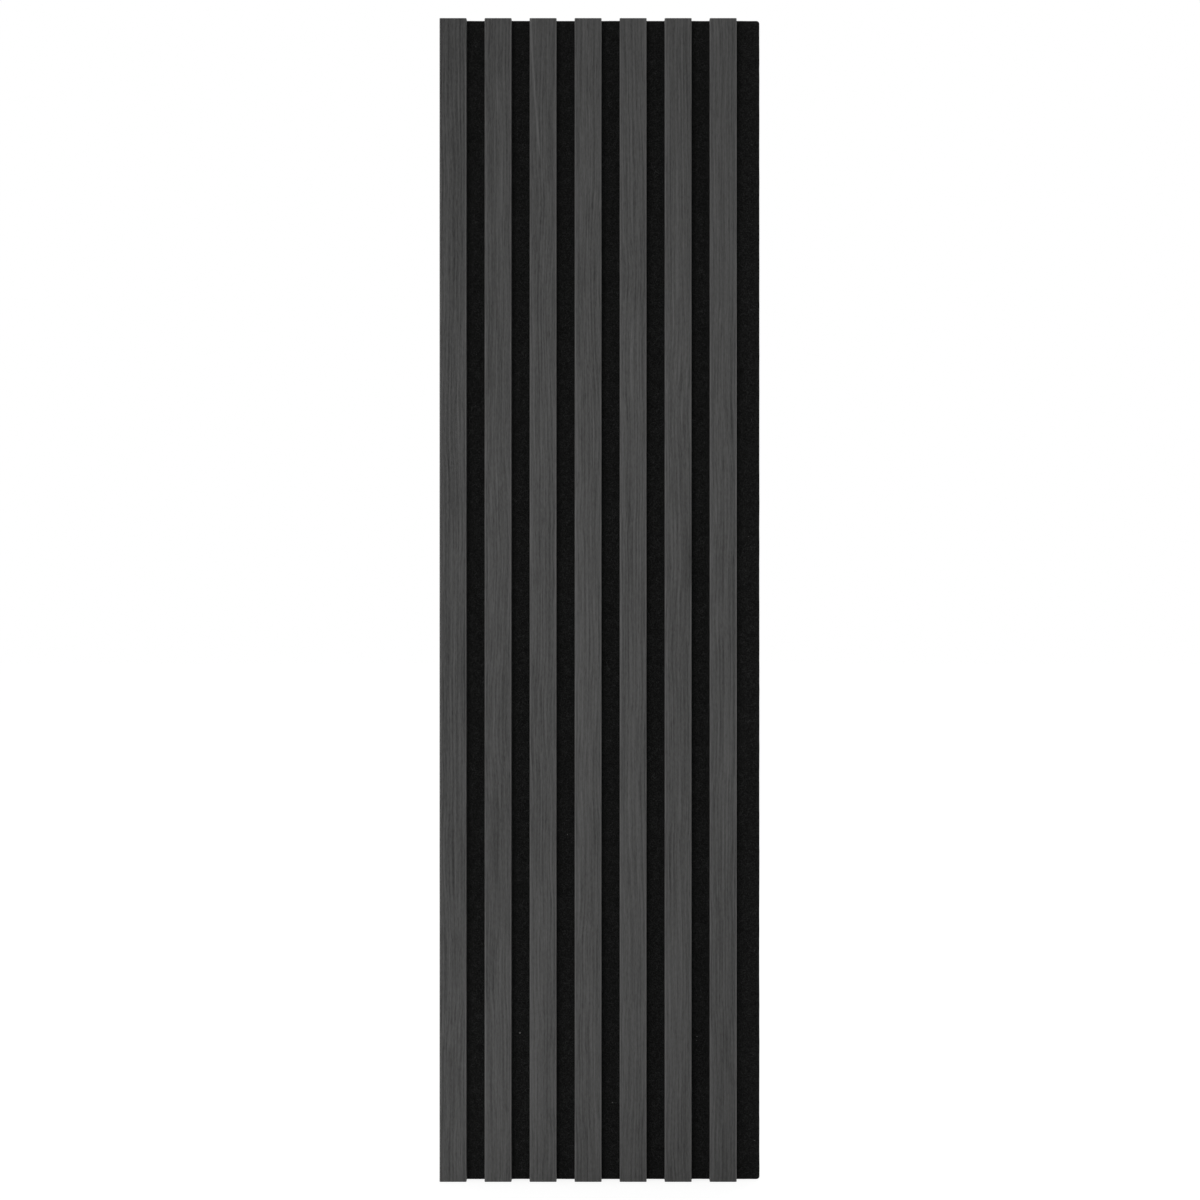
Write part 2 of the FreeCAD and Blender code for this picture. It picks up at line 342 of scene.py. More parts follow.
wood = Finish("charcoal_veneer")
spot = wood.axes(wood.place)
pitches = wood.math("DIVIDE", wood.math("SUBTRACT", spot["X"], slat_middles[0] - slat_pitch / 2), slat_pitch)
leaf_number = wood.math("FLOOR", pitches)
leaf_shift = wood.add("ShaderNodeCombineXYZ")
wood.feed(leaf_shift.inputs["Z"], wood.math("MULTIPLY", leaf_number, LEAF_SHIFT))
leaf = wood.vector("ADD", wood.place, leaf_shift.outputs[0])
sway_amount = wood.swing(wood.noise(leaf, (9, 9, 6)), SWAY_WIDTH)
sway = wood.add("ShaderNodeCombineXYZ")
wood.feed(sway.inputs["X"], sway_amount)
wood.feed(sway.inputs["Y"], sway_amount)
grain = wood.vector("ADD", leaf, sway.outputs[0])
print(f"veneer pattern read {LEAF_SHIFT} m apart on {len(slats)} slats")

# %% [markdown]
# The grain has several scales, and most are a noise drawn out up the slat: fibres a millimetre or two wide
# and as long as a finger, with flecks and fine hairs among them, lines as long as a hand, bands of earlier
# and later wood, slow cloudy patches where the stain took differently, a few pale strips and short dark
# pores. The rings of the years come at a nearly even pitch, which no noise does, so they are a sine wave
# across the slat whose count wanders.

# %% Veneer grain
RING_PITCH = 3.45 * MM
RING_WANDER = 2.6


def along_grain(across, up, **settings):
    """Noise with so many features to the metre across the grain and along it."""
    return wood.noise(grain, (across, across, up), **settings)


fibres = along_grain(780, 13, detail=4, roughness=0.6)
flecks = along_grain(800, 240, detail=1)
hairs = along_grain(3400, 60, detail=1)
lines = along_grain(450, 4, detail=1)
bands = along_grain(150, 2.4)
pale_strips = wood.step(along_grain(330, 5, detail=1), 0.62, 0.72)
pores = wood.step(along_grain(1700, 90, detail=1), 0.62, 0.74)
clouds = wood.noise(leaf, (15, 15, 4))
wander = wood.swing(wood.noise(leaf, (55, 55, 1.5), detail=1), RING_WANDER)
ring_count = wood.math("ADD", wood.math("DIVIDE", wood.axes(grain)["X"], RING_PITCH), wander)
rings = wood.math("SINE", wood.math("MULTIPLY", ring_count, math.tau))
print(f"rings {RING_PITCH / MM:.2f} mm apart")

# %% [markdown]
# Light and shade are painted into the wood's tone across the panel: it is painted a little darker at both
# sides than in its middle, most of all on the left, and paler towards the upper right and lower left
# corners.
# Both are worked out from where a point is on the whole panel. One number, the tone, then blends a dark wood
# into a pale one. It starts from a middle value, noises swing it both ways, and the rest adds or takes away.

# %% Painted light and tone
PAINTED_LIGHT_LEAN = 0.55
CORNER_POWER = 3
MIDDLE_TONE = 0.517
SWINGS = ((fibres, 1.02), (lines, 0.42), (bands, 0.42), (clouds, 0.18), (flecks, 0.4), (hairs, 0.25))

panel_middle = sum(slat_middles) / len(slats)
half_width = (slat_middles[-1] - slat_middles[0]) / 2
centred = wood.math("DIVIDE", wood.math("SUBTRACT", spot["X"], panel_middle), half_width)
raised = wood.math("POWER", wood.math("DIVIDE", spot["Z"], felt_high.z), CORNER_POWER)
# painted light: paler towards the upper right and lower left corners
painted_corner_light = wood.math("MULTIPLY", centred, raised)
# painted light and shade: paler in the middle, darker at both sides, most of all on the left
leaning = wood.math("MULTIPLY", centred, PAINTED_LIGHT_LEAN)
painted_middle_light = wood.math("SUBTRACT", leaning, wood.math("MULTIPLY", centred, centred))
# the first two are painted light and shade; the rings, pale strips and pores are grain
additions = ((painted_corner_light, 0.06), (painted_middle_light, 0.062), (rings, 0.07), (pale_strips, 0.07),
             (pores, -0.22))

tone = MIDDLE_TONE
for pattern, amount in SWINGS:
    tone = wood.math("ADD", tone, wood.swing(pattern, amount))
for pattern, amount in additions:
    tone = wood.math("ADD", tone, wood.math("MULTIPLY", pattern, amount))
print(f"tone from {len(SWINGS) + len(additions)} patterns")

# %% [markdown]
# On the third slat one long pale streak leans across the grain. It could be a painted mask, but a path with
# two ends and a curve says it in a few numbers: the streak starts at the slat's top, drifts to the side as
# it falls, is soft at its edges and fades out before its foot.

# %% Streak
STREAK_TOP = Vector((-71.7, 0, 581)) * MM
STREAK_FOOT = Vector((-61.9, 0, 434)) * MM
STREAK_CURVE = 1.35
STREAK_WIDTH = 3.6 * MM
STREAK_FADES_FROM = 0.85
STREAK_TONE = 0.48

streak_length = STREAK_TOP.z - STREAK_FOOT.z
below_top = wood.math("SUBTRACT", STREAK_TOP.z, spot["Z"])
fallen = wood.math("DIVIDE", below_top, streak_length, clamp=True)
drift = wood.math("MULTIPLY", wood.math("POWER", fallen, STREAK_CURVE), STREAK_FOOT.x - STREAK_TOP.x)
off_streak = wood.math("ABSOLUTE", wood.math("SUBTRACT", spot["X"], wood.math("ADD", drift, STREAK_TOP.x)))
streak = wood.math("SUBTRACT", 1, wood.step(off_streak, 0, STREAK_WIDTH / 2))
fading = wood.math("SUBTRACT", 1, wood.step(fallen, STREAK_FADES_FROM, 1))
streak = wood.math("MULTIPLY", streak, fading)
tone = wood.math("ADD", tone, wood.math("MULTIPLY", streak, STREAK_TONE))
print(f"streak {streak_length / MM:.0f} mm long")

# %% [markdown]
# A thin pale line follows the two front arrises of each slat, stronger in some places than in others. It is
# partly stain that sanding and handling rub off and partly a painted highlight along the edges. The slats
# are evenly spaced, so what is left over of the pitch tells how far a point is from its slat's middle, and
# one rule serves all of them. Paler wood is also a little glossier, and the pores lie deeper than the
# fibres.

# %% Arris wear and painted highlight, and gloss
DARK_WOOD = (0.0165, 0.0165, 0.0163, 1)
PALE_WOOD = (0.0775, 0.0772, 0.0763, 1)
PALE_EDGE_FROM = slat_width / 2 - 1.7 * MM
PALE_EDGE_FULL = slat_width / 2 - 0.6 * MM
PALE_EDGE_DEPTH = 1.2 * MM
WEAR_AND_HIGHLIGHT_TONE = 0.85
DARK_ROUGHNESS = 0.78
POLISH = 0.25
PORE_DEPTH = 0.6
GRAIN_RELIEF = 0.08 * MM

off_middle = wood.math("ABSOLUTE", wood.math("SUBTRACT", wood.math("FRACT", pitches), 0.5))
by_arris = wood.step(wood.math("MULTIPLY", off_middle, slat_pitch), PALE_EDGE_FROM, PALE_EDGE_FULL)
in_front = wood.step(spot["Y"], slat_front + PALE_EDGE_DEPTH, slat_front)
# partly wear and partly a painted highlight: a pale line along the front arrises
rubbed_and_highlit = wood.math("MULTIPLY", wood.math("MULTIPLY", by_arris, in_front), wood.noise(leaf, (60, 60, 25)))
tone = wood.math("ADD", tone, wood.math("MULTIPLY", rubbed_and_highlit, WEAR_AND_HIGHLIGHT_TONE), clamp=True)

roughness = wood.math("SUBTRACT", DARK_ROUGHNESS, wood.math("MULTIPLY", tone, POLISH))
surface = wood.math("SUBTRACT", fibres, wood.math("MULTIPLY", pores, PORE_DEPTH))
wood.feed(wood.shader.inputs["Base Color"], wood.blend(tone, DARK_WOOD, PALE_WOOD))
wood.feed(wood.shader.inputs["Roughness"], roughness)
wood.feed(wood.shader.inputs["Specular IOR Level"], 0.25)
wood.relief(surface, GRAIN_RELIEF, strength=0.6)
print(f"arrises rubbed over {(PALE_EDGE_FULL - PALE_EDGE_FROM) / MM:.1f} mm")

# %% [markdown]
# The felt is black polyester fibre, needled and pressed into a board. From close by it is a mat of short
# crimped fibres that lie every way. Hair curves could show them all, but there would be millions, and one
# pattern does it as well. A noise that is fine across and long the other way gives the fibres of one layer,
# where it peaks. Eight layers, each turned by the same odd angle from the last, make the mat, and a slower
# noise added to the coordinates crimps them all. Each layer also leans a little out of the board, so that
# the cut edges show fibres as well. Tufts and patches, where the needles left the fibre looser, come on top.

# %% Felt finish
FELT_SHADE = (0.0016, 0.0017, 0.0016, 1)
FELT_FIBRE = (0.0206, 0.0210, 0.0206, 1)
STRAND_LAYERS = 8
LAYER_TURN = math.radians(67)
LAYER_LEAN = math.radians(9)
CRIMP = 4 * MM
PILE_BASE = 0.12
FELT_RELIEF = 0.12 * MM

felt = Finish("black_felt")
waves = felt.noise(felt.place, (230, 230, 230), detail=2, roughness=0.6, colour=True)
waves = felt.vector("SUBTRACT", waves, (0.5, 0.5, 0.5))
crimped = felt.vector("ADD", felt.place, felt.vector("MULTIPLY", waves, (CRIMP, CRIMP, CRIMP)))


def strand_layer(number):
    """Pale where a fibre of one layer comes to the surface."""
    turned = felt.add("ShaderNodeMapping")
    felt.feed(turned.inputs["Vector"], crimped)
    felt.feed(turned.inputs["Location"], (number, number, number))
    felt.feed(turned.inputs["Rotation"], (LAYER_LEAN * (-1) ** number, LAYER_TURN * number, 0))
    layer = felt.noise(turned.outputs[0], (2300, 2300, 110), detail=0)
    return felt.step(layer, 0.64, 0.82)


strands = strand_layer(0)
for number in range(1, STRAND_LAYERS):
    strands = felt.math("ADD", strands, strand_layer(number))
tufts = felt.swing(felt.noise(felt.place, (520, 520, 520), detail=3, roughness=0.65), 0.5)
patches = felt.swing(felt.noise(felt.place, (60, 60, 60), detail=2), 0.15)
pile = felt.math("ADD", felt.math("MULTIPLY", strands, 0.5), PILE_BASE)
pile = felt.math("ADD", pile, felt.math("ADD", tufts, patches), clamp=True)
felt.feed(felt.shader.inputs["Base Color"], felt.blend(pile, FELT_SHADE, FELT_FIBRE))
felt.feed(felt.shader.inputs["Roughness"], 0.95)
felt.feed(felt.shader.inputs["Specular IOR Level"], 0.05)
felt.feed(felt.shader.inputs["Sheen Weight"], 0.02)
felt.relief(pile, FELT_RELIEF)
print(f"{STRAND_LAYERS} layers of fibres")

# %% [markdown]
# Fibres that have come loose stand clear of the shade of the others and shine a little, so they get a plain
# finish of their own, slightly paler than the board.

# %% Loose fibre finish
LOOSE_FIBRE = (0.032, 0.032, 0.033, 1)

loose = Finish("loose_fibre")
loose.feed(loose.shader.inputs["Base Color"], LOOSE_FIBRE)
loose.feed(loose.shader.inputs["Roughness"], 0.6)
loose.feed(loose.shader.inputs["Specular IOR Level"], 0.3)
print(f"{loose.material.name}: {LOOSE_FIBRE[0]} against the felt's {FELT_FIBRE[0]}")

# %% [markdown]
# The core is fibreboard dyed black all through, so its sawn ends show fine brown-black flecks. The pattern
# is solid noise, the same every way, because the board has no grain.

# %% Core finish
BOARD_SHADE = (0.006, 0.0058, 0.0055, 1)
BOARD_FLECK = (0.026, 0.0245, 0.0225, 1)
BOARD_RELIEF = 0.1 * MM

board = Finish("dyed_fibreboard")
chips = board.noise(board.place, (1900, 1900, 1900), detail=3, roughness=0.7)
lumps = board.noise(board.place, (420, 420, 420))
chip_share = board.math("ADD", board.swing(chips, 2.2), board.math("MULTIPLY", lumps, 0.9), clamp=True)
board.feed(board.shader.inputs["Base Color"], board.blend(chip_share, BOARD_SHADE, BOARD_FLECK))
board.feed(board.shader.inputs["Roughness"], 0.85)
board.feed(board.shader.inputs["Specular IOR Level"], 0.2)
board.relief(chips, BOARD_RELIEF)
print(f"{board.material.name} ready")

# %% [markdown]
# The staples are galvanised wire: grey, a little cloudy where the zinc has bloomed, and scratched along
# their length where the wire went through the dies. The scratches run along the crown, which is the part
# that shows, so the noise is drawn out along X.

# %% Wire finish
WIRE_SHADE = (0.14, 0.145, 0.15, 1)
WIRE_BLOOM = (0.5, 0.51, 0.52, 1)
WIRE_RELIEF = 0.02 * MM

wire = Finish("galvanised_wire")
drawn = wire.noise(wire.place, (300, 4000, 4000), detail=2)
bloom = wire.noise(wire.place, (700, 700, 700), detail=2)
wire_tone = wire.math("ADD", wire.math("MULTIPLY", drawn, 0.5), wire.math("MULTIPLY", bloom, 0.5))
wire_tone = wire.step(wire_tone, 0.3, 0.7)
wire.feed(wire.shader.inputs["Base Color"], wire.blend(wire_tone, WIRE_SHADE, WIRE_BLOOM))
wire.feed(wire.shader.inputs["Metallic"], 1.0)
wire.feed(wire.shader.inputs["Roughness"], wire.math("ADD", 0.25, wire.math("MULTIPLY", bloom, 0.25)))
wire.relief(drawn, WIRE_RELIEF)
print(f"{wire.material.name} ready")

# %% [markdown]
# Every piece ends in the same way: its mesh gets a finish, smooth shading that stops at true edges and the
# one body of the panel to ride on, and the solids that it stands for are hidden.

# %% Helpers for pieces
SHARP_ANGLE = math.radians(40)


def add_piece(name, bm, finish, nodes=()):
    """Makes an object of a bmesh, puts it on the panel and returns it."""
    mesh = bpy.data.meshes.new(name)
    bm.to_mesh(mesh)
    bm.free()
    mesh.materials.append(finish.material)
    mesh.shade_smooth()
    mesh.set_sharp_from_angle(angle=SHARP_ANGLE)
    piece = bpy.data.objects.new(name, mesh)
    bpy.context.scene.collection.objects.link(piece)
    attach(piece, "root")
    if nodes:
        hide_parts(*nodes)
    return piece


def verts_of(parts):
    """The vertices among the parts that an operator returned."""
    return [part for part in parts if isinstance(part, bmesh.types.BMVert)]


def edges_of(parts):
    """The edges among the parts that an operator returned."""
    return [part for part in parts if isinstance(part, bmesh.types.BMEdge)]


print("piece helpers ready")

# %% [markdown]
# The felt board is cut from a sheet with a blade, and its corners are rounded. It starts as a block with
# its corners and its rims bevelled, and planes cut it into small fields. Subdividing it evenly until the
# staples' dents are smooth would take far too many faces. Instead its back gets more cuts near each staple,
# closer together towards the crown, so that there are vertices enough to pull the felt in there.

# %% Felt block
FELT_EDGE_RADIUS = 0.7 * MM

bm = bmesh.new()
felt_size = felt_high - felt_low
bmesh.ops.create_cube(bm, size=1)
bmesh.ops.scale(bm, vec=felt_size, verts=bm.verts)
bmesh.ops.translate(bm, vec=(felt_low + felt_high) / 2, verts=bm.verts)
upright_corners = [edge for edge in bm.edges if len({vert.co.y for vert in edge.verts}) == 2]
bmesh.ops.bevel(bm, geom=upright_corners, offset=FELT_CORNER_RADIUS, affect="EDGES", segments=6,
                profile=0.5, material=-1)
rims = [edge for edge in bm.edges if len({round(face.normal.y) for face in edge.link_faces}) == 2]
bmesh.ops.bevel(bm, geom=rims, offset=FELT_EDGE_RADIUS, affect="EDGES", segments=3, profile=0.5, material=-1)
print("felt block, in mm:", [round(side / MM, 1) for side in felt_size])

# %% Cut the block
FELT_FIELD = 6 * MM
DENT_RINGS = (0.65 * MM, 0.95 * MM, 1.4 * MM, 2.1 * MM, 3.0 * MM)


def cut_across(bm, axis, places, parts_to_cut):
    """Cuts parts along the planes that stand at these places on an axis."""
    normal = Vector(axis)
    for place in places:
        bmesh.ops.bisect_plane(bm, geom=parts_to_cut(), plane_co=normal * place, plane_no=normal)


def steps_between(low, high, size):
    """Places between two ends, evenly spaced, about a size apart."""
    count = round((high - low) / size)
    return [low + (high - low) * number / count for number in range(1, count)]


def back_parts():
    """The faces of the back with their edges and vertices."""
    faces = [face for face in bm.faces if face.normal.y > 0.9]
    edges = dict.fromkeys(edge for face in faces for edge in face.edges)
    verts = dict.fromkeys(vert for face in faces for vert in face.verts)
    return [*faces, *edges, *verts]


def all_parts():
    """Everything of the board."""
    return bm.faces[:] + bm.edges[:] + bm.verts[:]


crown_reach = (crown_width - WIRE_WIDTH) / 2
ring_sides = [side * ring for ring in DENT_RINGS for side in (-1, 1)]
crown_ends = [x + side * crown_reach for x in slat_middles for side in (-1, 1)]
cut_across(bm, (1, 0, 0), [x + side for x in crown_ends for side in ring_sides], back_parts)
cut_across(bm, (0, 0, 1), [z + side for z in staple_rows for side in ring_sides], back_parts)
cut_across(bm, (1, 0, 0), steps_between(felt_low.x, felt_high.x, FELT_FIELD), all_parts)
cut_across(bm, (0, 0, 1), steps_between(felt_low.z, felt_high.z, FELT_FIELD), all_parts)
print(f"felt has {len(bm.faces)} faces")

# %% [markdown]
# A crown that is driven home pulls the felt in around it, to its own depth under the wire and less and less
# further off. Cloth simulation could find that shape, but the distance to the crown's middle line decides
# it just as well.

# %% Staple dents
DENT_WIDTH = 3.2 * MM
EDGE_PULL = 4 * MM

dent_depth = felt_high.y - staple_high.y + WIRE_THICKNESS
dented = 0
for vert in bm.verts:
    beyond = max(min(abs(vert.co.x - x) for x in slat_middles) - crown_reach, 0)
    above = min(abs(vert.co.z - z) for z in staple_rows)
    off_crown = max(math.hypot(beyond, above) - DENT_RINGS[0], 0)
    slope = max(1 - off_crown / (DENT_WIDTH - DENT_RINGS[0]), 0)
    near_back = max(1 - (felt_high.y - vert.co.y) / EDGE_PULL, 0)
    if slope * near_back:
        vert.co.y -= dent_depth * slope ** 2 * near_back
        dented += 1
print(f"{dented} vertices pulled in by up to {dent_depth / MM:.2f} mm")

# %% [markdown]
# Pressed felt is never quite flat. Two smooth noises, one of broad lumps and one of small ones, move every
# vertex a little. Vector noise takes its seed from the clock unless a script gives one, and a fixed seed
# keeps every run the same.

# %% Uneven felt
NOISE_SEED = 7
noise.seed_set(NOISE_SEED)


def roughen(bm, size, amount):
    """Moves each vertex by a smooth noise whose lumps are of about this size."""
    for vert in bm.verts:
        vert.co += noise.noise_vector(vert.co / size) * amount


roughen(bm, size=22 * MM, amount=0.16 * MM)
roughen(bm, size=8 * MM, amount=0.10 * MM)
felt_board = add_piece("felt_board", bm, felt, ["felt_backing"])
print(f"{felt_board.name}: {len(felt_board.data.polygons)} faces")

# %% [markdown]
# Loose fibres stand a little proud of the board and catch the light, in the gaps as well as on the back and
# the cut edges. A curled fibre is a tiny triangle spun round part of a circle and lifted on its way. Hair
# curves would be rounder, but a fibre is thinner than a pixel, and a spun triangle has few faces.

# %% Curled fibres
FIBRE_RADIUS = 0.04 * MM
FIBRE_SHAPES = 12
FIBRE_STEPS = 7
FIBRE_LIFT = 0.35 * MM
CURL_RADII = (1.2 * MM, 5 * MM)
CURL_ANGLES = (0.8, 3.2)
random.seed(7)


def curled_fibre(radius, angle, lift):
    """A mesh of one fibre, an arc round the Y axis centred on the origin."""
    bm = bmesh.new()
    ring = bmesh.ops.create_circle(bm, segments=3, radius=FIBRE_RADIUS)["verts"]
    bmesh.ops.translate(bm, vec=(radius, 0, 0), verts=ring)
    bmesh.ops.spin(bm, geom=bm.verts[:] + bm.edges[:], cent=(0, 0, 0), axis=(0, 1, 0),
                   dvec=(0, lift / FIBRE_STEPS, 0), angle=angle, steps=FIBRE_STEPS)
    middle = Vector((radius * math.cos(angle / 2), lift / 2, -radius * math.sin(angle / 2)))
    bmesh.ops.translate(bm, vec=-middle, verts=bm.verts)
    bmesh.ops.holes_fill(bm, edges=bm.edges[:], sides=3)
    bmesh.ops.recalc_face_normals(bm, faces=bm.faces)
    mesh = bpy.data.meshes.new("curled_fibre")
    bm.to_mesh(mesh)
    bm.free()
    return mesh


fibre_shapes = []
for number in range(FIBRE_SHAPES):
    lift = random.uniform(-FIBRE_LIFT, FIBRE_LIFT)
    fibre_shapes.append(curled_fibre(random.uniform(*CURL_RADII), random.uniform(*CURL_ANGLES), lift))
print(f"{len(fibre_shapes)} fibre shapes, {len(fibre_shapes[0].polygons)} faces each")

# %% [markdown]
# The few shapes are laid down some thousands of times, each turned, tilted and scaled by chance. A particle
# system would do that too, but the export wants real meshes, and a fixed seed keeps every run the same. A
# function for each side of the board says where a fibre may lie.

# %% Places for fibres
FIBRE_MARGIN = 3.5 * MM
FIBRE_RISE = 0.2 * MM
gap_ends = [low.x for low, high in slat_boxes.values()][1:] + [felt_high.x - FIBRE_MARGIN]
gaps = [(high.x, end) for (low, high), end in zip(slat_boxes.values(), gap_ends)]


def along_felt():
    """A height between the foot and the top of the felt."""
    return random.uniform(felt_low.z + FIBRE_MARGIN, felt_high.z - FIBRE_MARGIN)


def in_a_gap():
    """A place on the felt between two slats."""
    left, right = random.choice(gaps)
    return Vector((random.uniform(left, right), felt_low.y - random.uniform(0, FIBRE_RISE), along_felt()))


def on_the_back():
    """A place on the back of the felt."""
    x = random.uniform(felt_low.x + FIBRE_MARGIN, felt_high.x - FIBRE_MARGIN)
    return Vector((x, felt_high.y + random.uniform(0, FIBRE_RISE), along_felt()))


def on_a_side(x):
    """A function that gives places on the left or right edge of the felt."""
    return lambda: Vector((x, random.uniform(felt_low.y, felt_high.y), along_felt()))


def on_an_end(z):
    """A function that gives places on the top or bottom edge of the felt."""
    left, right = felt_low.x + FIBRE_MARGIN, felt_high.x - FIBRE_MARGIN
    return lambda: Vector((random.uniform(left, right), random.uniform(felt_low.y, felt_high.y), z))


print("gaps, in mm:", [round((right - left) / MM, 1) for left, right in gaps])

# %% Scatter the fibres
GAP_FIBRES = 1300
BACK_FIBRES = 2000
SIDE_FIBRES = 160
END_FIBRES = 50
EDGE_REACH = 0.5
FIBRE_TILT = 0.14
FIBRE_SIZES = (0.6, 1.3)


def scatter(bm, count, place_of, facing, reach=1):
    """Lays fibres at places given by a function, flat on a surface that faces along an axis."""
    turn_to_face = Vector((0, -1, 0)).rotation_difference(Vector(facing)).to_matrix().to_4x4()
    for number in range(count):
        spin = Matrix.Rotation(random.uniform(0, math.tau), 4, "Y")
        tilt = Matrix.Rotation(random.uniform(-FIBRE_TILT, FIBRE_TILT), 4, "X")
        size = Matrix.Scale(random.uniform(*FIBRE_SIZES) * reach, 4)
        fibre = random.choice(fibre_shapes).copy()
        fibre.transform(Matrix.Translation(place_of()) @ turn_to_face @ tilt @ spin @ size)
        bm.from_mesh(fibre)
        bpy.data.meshes.remove(fibre)


bm = bmesh.new()
scatter(bm, GAP_FIBRES, in_a_gap, (0, -1, 0))
front_fibres = add_piece("front_fibres", bm, loose)
bm = bmesh.new()
scatter(bm, BACK_FIBRES, on_the_back, (0, 1, 0))
back_fibres = add_piece("back_fibres", bm, loose)
bm = bmesh.new()
for x, way in ((felt_low.x, -1), (felt_high.x, 1)):
    scatter(bm, SIDE_FIBRES, on_a_side(x), (way, 0, 0), EDGE_REACH)
for z, way in ((felt_low.z, -1), (felt_high.z, 1)):
    scatter(bm, END_FIBRES, on_an_end(z), (0, 0, way), EDGE_REACH)
edge_fibres = add_piece("edge_fibres", bm, loose)
print("fibre faces:", [len(piece.data.polygons) for piece in (front_fibres, back_fibres, edge_fibres)])

# %% [markdown]
# A few specks of pale lint have settled in the grooves. Each is a flattened ball, pulled out of shape by a
# noise. They are placed by where the photograph's frame of 1200 pixels shows them, and pushed back to the
# face of the felt along the camera's line of sight.

# %% Lint finish
LINT_SHADE = (0.02, 0.02, 0.02, 1)
LINT_PALE = (0.14, 0.14, 0.135, 1)

lint = Finish("pale_lint")
fluff = lint.noise(lint.place, (2500, 2500, 2500))
lint.feed(lint.shader.inputs["Base Color"], lint.blend(fluff, LINT_SHADE, LINT_PALE))
lint.feed(lint.shader.inputs["Roughness"], 0.9)
lint.feed(lint.shader.inputs["Specular IOR Level"], 0.1)
print("finishes:", ", ".join(material.name for material in bpy.data.materials))

# %% Lint specks
FRAME_PIXELS = 1200
LINT_PIXELS = ((520, 1032.7), (697, 1036.5), (696.5, 1040.5), (612.5, 1102.5), (748.5, 536.5),
               (754.5, 1140.5), (567.5, 834.5))
LINT_RADII = (1.0 * MM, 0.65 * MM, 0.55 * MM, 0.6 * MM, 0.5 * MM, 0.5 * MM, 0.5 * MM)
LINT_LUMPS = 0.6
LUMPS_PER_RADIUS = 1.7
LINT_SQUASH = (1, 0.35, 0.8)


def seen_at(pixel, y):
    """The point at depth y that the camera sees at a pixel."""
    metres_per_pixel = PICTURE_WIDTH / FRAME_PIXELS * (VIEW_DISTANCE + y) / (VIEW_DISTANCE + slat_front)
    right, down = (place - FRAME_PIXELS / 2 for place in pixel)
    return Vector((CAMERA_OFFSET + right * metres_per_pixel, y, -down * metres_per_pixel))


bm = bmesh.new()
for pixel, radius in zip(LINT_PIXELS, LINT_RADII):
    ball = bmesh.ops.create_icosphere(bm, subdivisions=3, radius=radius)["verts"]
    for vert in ball:
        lump = noise.noise(vert.co / radius * LUMPS_PER_RADIUS + Vector((*pixel, 0)))
        vert.co *= 1 + LINT_LUMPS * lump
    bmesh.ops.scale(bm, vec=LINT_SQUASH, verts=ball)
    bmesh.ops.translate(bm, vec=seen_at(pixel, felt_low.y), verts=ball)
lint_specks = add_piece("lint_specks", bm, lint)
print(f"{len(LINT_PIXELS)} specks of lint")

# %% [markdown]
# A veneer skin is one leaf folded round three sides of its core. Three boxes would leave seams at the
# arrises, so three strips, drawn from a line of four points and extruded up the slat, make the fold. The
# two long arrises are bevelled, and the sheet gets the thickness of the veneer inwards.


# %% Fold the veneer
def fold_veneer(low, high):
    """A channel of veneer that fills a box, open to the back."""
    bm = bmesh.new()
    outline = ((low.x, high.y), (low.x, low.y), (high.x, low.y), (high.x, high.y))
    points = [bm.verts.new((x, y, low.z)) for x, y in outline]
    strips = [bm.edges.new(pair) for pair in zip(points, points[1:])]
    drawn_up = bmesh.ops.extrude_edge_only(bm, edges=strips)["geom"]
    bmesh.ops.translate(bm, vec=(0, 0, high.z - low.z), verts=verts_of(drawn_up))
    arrises = [edge for edge in bm.edges if len(edge.link_faces) == 2]
    bmesh.ops.bevel(bm, geom=arrises, offset=ARRIS_RADIUS, affect="EDGES", segments=5, profile=0.5,
                    material=-1)
    bmesh.ops.recalc_face_normals(bm, faces=bm.faces)
    front = min(bm.faces, key=lambda face: face.calc_center_median().y)
    if front.normal.y > 0:
        bmesh.ops.reverse_faces(bm, faces=bm.faces)
    bmesh.ops.solidify(bm, geom=bm.faces[:], thickness=veneer_thickness)
    bmesh.ops.recalc_face_normals(bm, faces=bm.faces)
    return bm


print("veneer folds on a line of four points")

# %% [markdown]
# A sanding block eases the outer edge of both ends. The inner edge lies against the core and stays sharp,
# so the edges to bevel are those between an end and a wall that faces away from the slat's middle. The core
# is the solid model's own, and only gets its finish.

# %% Veneer skins
END_EASE = 0.5 * MM


def ease_ends(bm, middle_x):
    """Rounds the outer edges of both ends."""
    outer = []
    for edge in bm.edges:
        ends = [face for face in edge.link_faces if abs(face.normal.z) > 0.9]
        walls = [face for face in edge.link_faces if abs(face.normal.z) < 0.1]
        if ends and walls:
            centre = walls[0].calc_center_median()
            outwards = Vector((centre.x - middle_x, centre.y, 0))
            if walls[0].normal.dot(outwards) > 0:
                outer.append(edge)
    bmesh.ops.bevel(bm, geom=outer, offset=END_EASE, affect="EDGES", segments=3, profile=0.5, material=-1)


for slat, middle_x in zip(slats, slat_middles):
    low, high = slat_boxes[slat]
    bm = fold_veneer(low, high)
    ease_ends(bm, middle_x)
    skin = add_piece(f"{slat}_skin", bm, wood, [f"{slat}_veneer"])
    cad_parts[f"{slat}_core"].data.materials[0] = board.material
print(f"{len(slats)} skins, {len(skin.data.polygons)} faces each")

# %% [markdown]
# A staple is one length of flat wire, bent twice. A curve with a bevel would make it, but its points would
# stay square. So its section is drawn as a ring, and the ring is drawn out along one leg, spun round the
# first bend, drawn out along the crown, spun again and drawn out along the other leg. The points are
# pinched at both ends.

# %% Bend the wire
BEND_RADIUS = 1.0 * MM
BEND_STEPS = 4
POINT_LENGTH = 1.2 * MM
POINT_SHARE = 0.15
CORNER_EASE = 0.2 * MM


